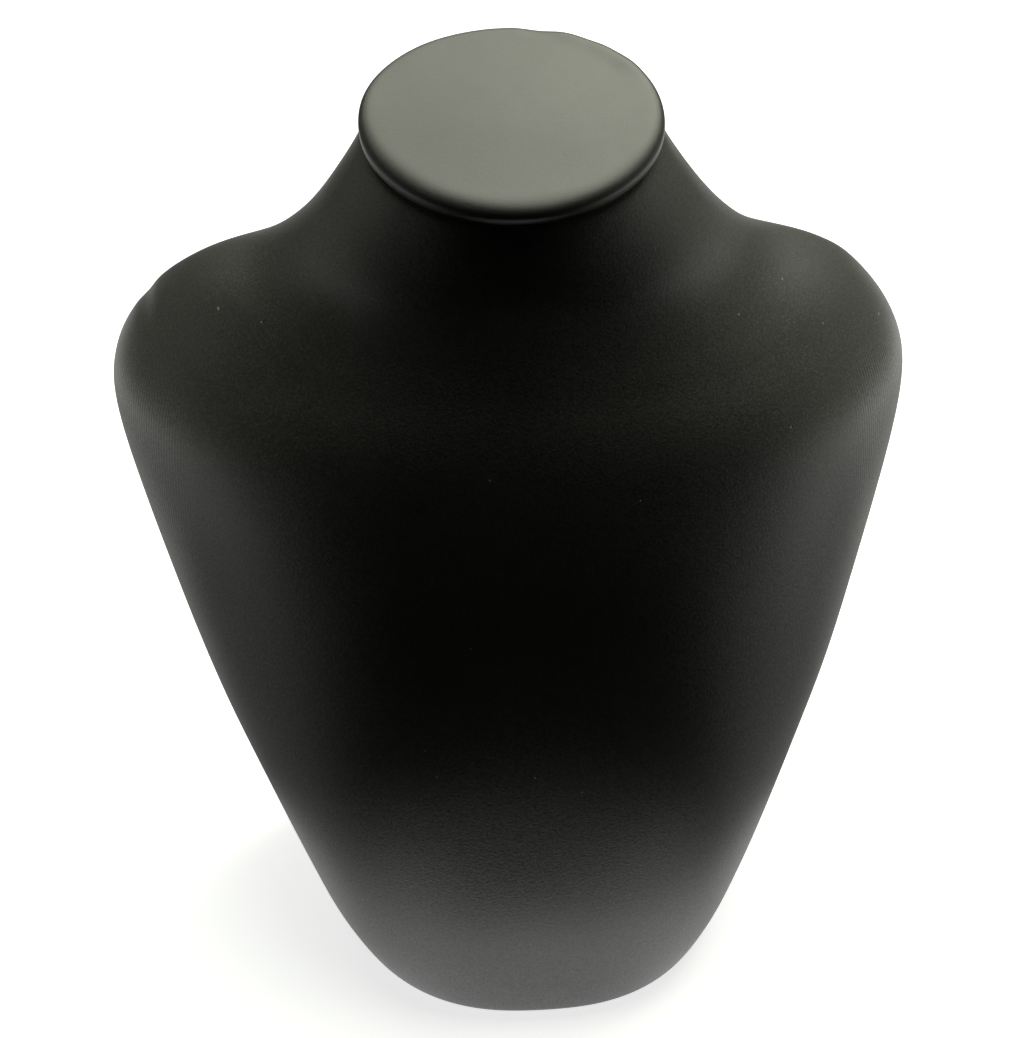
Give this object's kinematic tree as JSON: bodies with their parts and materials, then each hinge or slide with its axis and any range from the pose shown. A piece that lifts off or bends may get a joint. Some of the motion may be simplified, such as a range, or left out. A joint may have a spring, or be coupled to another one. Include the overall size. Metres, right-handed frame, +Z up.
{
  "type": "necklace stand",
  "caption": "Necklace stand shaped as a neck and shoulders in black leatherette, with a tilted oval cap, a lined flat back and a felt foot.",
  "frame": {"origin": "on the standing surface, under the middle of the stand's box", "axes": "+Z up through the neck; the chest faces -Y, the flat back faces +Y; +X to the right seen from the front"},
  "size_m": [0.2, 0.1116, 0.2169],
  "materials": {
    "leatherette": "matte, fine grain",
    "moulding": "dull moulding",
    "fibreboard": "raw pressed board",
    "foam": "soft foam",
    "velvet_paper": "short flock",
    "felt": "pressed felt"
  },
  "bodies": {
    "root": {"torso_core": "moulding", "torso_cover": "leatherette", "cap_board": "fibreboard", "cap_pad": "foam", "cap_cover": "leatherette", "back_board": "fibreboard", "back_lining": "velvet_paper", "foot_pad": "felt"}
  },
  "joints": []
}
